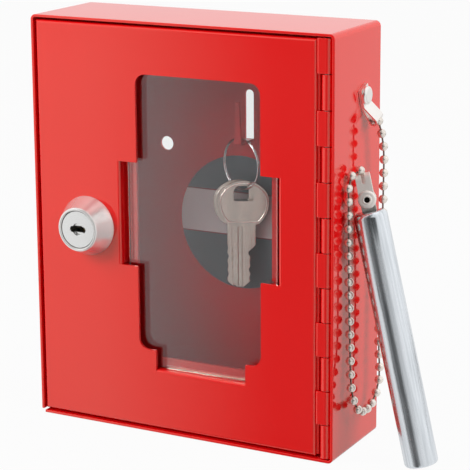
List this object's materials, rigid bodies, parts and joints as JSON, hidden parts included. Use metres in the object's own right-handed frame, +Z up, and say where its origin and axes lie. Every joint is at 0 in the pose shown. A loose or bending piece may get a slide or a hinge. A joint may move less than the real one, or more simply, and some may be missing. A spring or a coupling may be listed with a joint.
{
  "type": "break glass key box",
  "caption": "Red steel wall box with a hinged glazed door and cam lock, keys on an inner hook, and a small hammer on a bead chain for breaking the pane.",
  "frame": {"origin": "centre of the case's underside", "axes": "+Z up, front and door towards -Y, hinge and hammer side towards +X"},
  "size_m": [0.1542, 0.0455, 0.15],
  "materials": {
    "red_coat": "glossy red powder coat",
    "glass": "clear float glass, polished faces, ground edges",
    "lock_nickel": "satin nickel plate",
    "nickel": "bright nickel plate",
    "chain_nickel": "bright nickel plated steel balls",
    "chrome_wire": "bright wire",
    "key_metal": "nickel plated key blank, lightly brushed",
    "hammer_alloy": "polished round bar, fine turned marks",
    "zinc": "zinc plate",
    "pin_steel": "plain steel wire",
    "brass": "plain brass",
    "label": "printed vinyl disc, left without wording"
  },
  "bodies": {
    "case": {"case_wrap": "red_coat", "back_panel": "red_coat", "inner_label": "label", "lock_strike": "red_coat", "hinge_case_leaf": "red_coat", "hinge_pin": "pin_steel", "anchor_rivet": "nickel", "chain_connector": "nickel", "bead_chain": "chain_nickel", "hammer_strap": "nickel", "hammer_rivet": "nickel"},
    "door": {"door_panel": "red_coat", "hinge_door_leaf": "red_coat", "lock_housing": "lock_nickel", "lock_washer": "zinc", "lock_nut": "zinc"},
    "glass": {"glass_pane": "glass"},
    "lock": {"lock_plug": "lock_nickel", "lock_wafers": "brass", "lock_cam": "zinc", "cam_screw": "zinc"},
    "hammer": {"hammer_rod": "hammer_alloy", "hammer_tang": "zinc"},
    "ring": {"key_ring": "chrome_wire"},
    "front_key": {"key_front": "key_metal"},
    "back_key": {"key_back": "key_metal"}
  },
  "joints": [
    {"name": "door_swing", "type": "hinge", "parent": "case", "child": "door", "pos_m": [0.0566, -0.017, 0.075], "axis": [0, 0, 1], "range_deg": [0, 95]},
    {"name": "pane_lift", "type": "slide", "parent": "door", "child": "glass", "axis": [0, 0, 1], "range_m": [0, 0.01]},
    {"name": "lock_turn", "type": "hinge", "parent": "door", "child": "lock", "pos_m": [-0.0376, -0.019, 0.0745], "axis": [0, 1, 0], "range_deg": [0, 90]},
    {"name": "hammer_swing", "type": "hinge", "parent": "case", "child": "hammer", "pos_m": [0.066, -0.0051, 0.09218], "axis": [0.3813, -0.9159, 0.1254], "range_deg": [0, 60]},
    {"name": "ring_swing", "type": "hinge", "parent": "case", "child": "ring", "pos_m": [0.00955, 0.0113, 0.10365], "axis": [0, 1, 0], "range_deg": [-15, 15]},
    {"name": "front_key_swing", "type": "hinge", "parent": "ring", "child": "front_key", "pos_m": [0.00955, 0.0113, 0.0868], "axis": [-0.9272, 0.3746, 0], "range_deg": [0, 25]},
    {"name": "back_key_swing", "type": "hinge", "parent": "ring", "child": "back_key", "pos_m": [0.00955, 0.0113, 0.0868], "axis": [-0.9272, 0.3746, 0], "range_deg": [0, 25]}
  ],
  "couplings": [
    {"joint": "back_key_swing", "follows": "front_key_swing", "ratio": 1}
  ]
}
